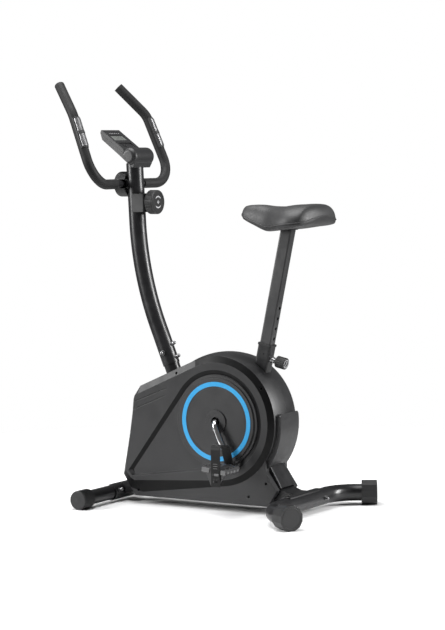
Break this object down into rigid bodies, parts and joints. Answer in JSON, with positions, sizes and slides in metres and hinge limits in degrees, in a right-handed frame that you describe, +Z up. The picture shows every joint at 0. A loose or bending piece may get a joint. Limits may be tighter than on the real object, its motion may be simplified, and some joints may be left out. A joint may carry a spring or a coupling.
{
  "type": "exercise bike",
  "caption": "Upright magnetic exercise bike with a black housing, blue accent rings, chrome cranks, strapped pedals, adjustable saddle and a console",
  "frame": {"origin": "on the floor, under the middle of the overall box", "axes": "+Z up; +X is the way the rider faces; +Y is to the rider's left"},
  "size_m": [0.849, 0.5648, 1.2392],
  "materials": {
    "black_steel": "gloss",
    "seat_post_steel": "satin",
    "housing_plastic": "satin",
    "cover_plastic": "satin",
    "ring_blue": "gloss",
    "fastener_steel": "satin",
    "cap_plastic": "matte",
    "console_plastic": "satin",
    "screen": "gloss",
    "grip_foam": "matte",
    "sensor_plastic": "satin",
    "sensor_metal": "satin",
    "chrome": "mirror",
    "pedal_plastic": "satin",
    "strap_rubber": "matte",
    "saddle_vinyl": "satin",
    "flywheel_iron": "satin"
  },
  "bodies": {
    "frame": {"accent_rings": "ring_blue", "clamp_cap": "black_steel", "clamp_cover": "cap_plastic", "console_back": "console_plastic", "console_front": "console_plastic", "console_screen": "screen", "crank_bearings": "fastener_steel", "crank_shell": "black_steel", "drive_belt": "strap_rubber", "flywheel_axle": "fastener_steel", "front_bracket": "black_steel", "front_stabilizer": "black_steel", "handlebar_bracket": "black_steel", "hub_caps": "cover_plastic", "left_round_cover": "cover_plastic", "left_shell": "housing_plastic", "main_beam": "black_steel", "pin_collar": "chrome", "pin_spring": "fastener_steel", "post": "black_steel", "post_bolts": "fastener_steel", "post_stub": "black_steel", "rear_bracket": "black_steel", "rear_cover": "housing_plastic", "rear_leg": "black_steel", "rear_stabilizer": "black_steel", "right_round_cover": "cover_plastic", "right_shell": "housing_plastic", "seat_tube": "black_steel", "seat_tube_bush": "cap_plastic", "shell_screws": "fastener_steel", "stabilizer_bolts": "fastener_steel", "tension_cable": "strap_rubber", "tension_housing": "cap_plastic"},
    "crank": {"crank": "chrome", "pedal_spindles": "fastener_steel", "drive_pulley": "pedal_plastic"},
    "left_pedal": {"left_pedal": "pedal_plastic", "left_strap": "strap_rubber"},
    "right_pedal": {"right_pedal": "pedal_plastic", "right_strap": "strap_rubber"},
    "flywheel": {"flywheel": "flywheel_iron"},
    "magnet_arm": {"magnet_arm": "pedal_plastic"},
    "tension_knob": {"tension_knob": "cap_plastic"},
    "handlebar": {"handlebar": "black_steel", "left_grip": "grip_foam", "right_grip": "grip_foam", "pulse_bases": "sensor_plastic", "pulse_plates": "sensor_metal"},
    "console_button": {"console_button": "console_plastic"},
    "seat": {"seat_post": "seat_post_steel", "saddle": "saddle_vinyl", "saddle_base": "cap_plastic", "saddle_bolts": "fastener_steel"},
    "seat_pin": {"pin_plunger": "fastener_steel", "pin_knob": "cap_plastic"},
    "front_left_wheel": {"front_left_wheel": "cap_plastic"},
    "front_right_wheel": {"front_right_wheel": "cap_plastic"},
    "rear_left_foot": {"rear_left_foot": "cap_plastic"},
    "rear_right_foot": {"rear_right_foot": "cap_plastic"}
  },
  "joints": [
    {"name": "crank_spin", "type": "hinge", "parent": "frame", "child": "crank", "pos_m": [-0.059, 0, 0.26], "axis": [0, 1, 0], "continuous": true},
    {"name": "flywheel_spin", "type": "hinge", "parent": "frame", "child": "flywheel", "pos_m": [0.13, 0.0365, 0.19], "axis": [0, 1, 0], "continuous": true},
    {"name": "left_pedal_spin", "type": "hinge", "parent": "crank", "child": "left_pedal", "pos_m": [-0.12476, 0.146, 0.13527], "axis": [0, 1, 0], "continuous": true},
    {"name": "right_pedal_spin", "type": "hinge", "parent": "crank", "child": "right_pedal", "pos_m": [0.00676, -0.146, 0.38473], "axis": [0, 1, 0], "continuous": true},
    {"name": "tension_turn", "type": "hinge", "parent": "frame", "child": "tension_knob", "pos_m": [0.19, 0, 0.886], "axis": [1, 0, 0], "range_deg": [0, 315]},
    {"name": "magnet_swing", "type": "hinge", "parent": "frame", "child": "magnet_arm", "pos_m": [0.05, 0.0365, 0.268], "axis": [0, 1, 0], "range_deg": [-4, 0]},
    {"name": "handlebar_tilt", "type": "hinge", "parent": "frame", "child": "handlebar", "pos_m": [0.2895, 0, 0.94], "axis": [0, 1, 0], "range_deg": [-10, 10]},
    {"name": "button_press", "type": "slide", "parent": "frame", "child": "console_button", "axis": [0.5735, 0, -0.8192], "range_m": [0, 0.001], "stiffness_N_per_m": 400, "springref_m": -0.001},
    {"name": "seat_height", "type": "slide", "parent": "frame", "child": "seat", "axis": [-0.2164, 0, 0.9763], "range_m": [-0.15, 0.03]},
    {"name": "seat_pin_pull", "type": "slide", "parent": "frame", "child": "seat_pin", "axis": [-0.9763, 0, -0.2164], "range_m": [0, 0.006]},
    {"name": "front_left_wheel_roll", "type": "hinge", "parent": "frame", "child": "front_left_wheel", "pos_m": [0.312, 0.215, 0.028], "axis": [0, 1, 0], "continuous": true},
    {"name": "front_right_wheel_roll", "type": "hinge", "parent": "frame", "child": "front_right_wheel", "pos_m": [0.312, -0.215, 0.028], "axis": [0, 1, 0], "continuous": true},
    {"name": "rear_left_foot_turn", "type": "hinge", "parent": "frame", "child": "rear_left_foot", "pos_m": [-0.38873, 0.24097, 0.035], "axis": [-0.8829, 0.4695, 0], "range_deg": [-180, 180]},
    {"name": "rear_right_foot_turn", "type": "hinge", "parent": "frame", "child": "rear_right_foot", "pos_m": [-0.38873, -0.24097, 0.035], "axis": [-0.8829, -0.4695, 0], "range_deg": [-180, 180]}
  ],
  "couplings": [
    {"joint": "flywheel_spin", "follows": "crank_spin", "ratio": 6.3333},
    {"joint": "magnet_swing", "follows": "tension_turn", "ratio": -0.0125}
  ]
}
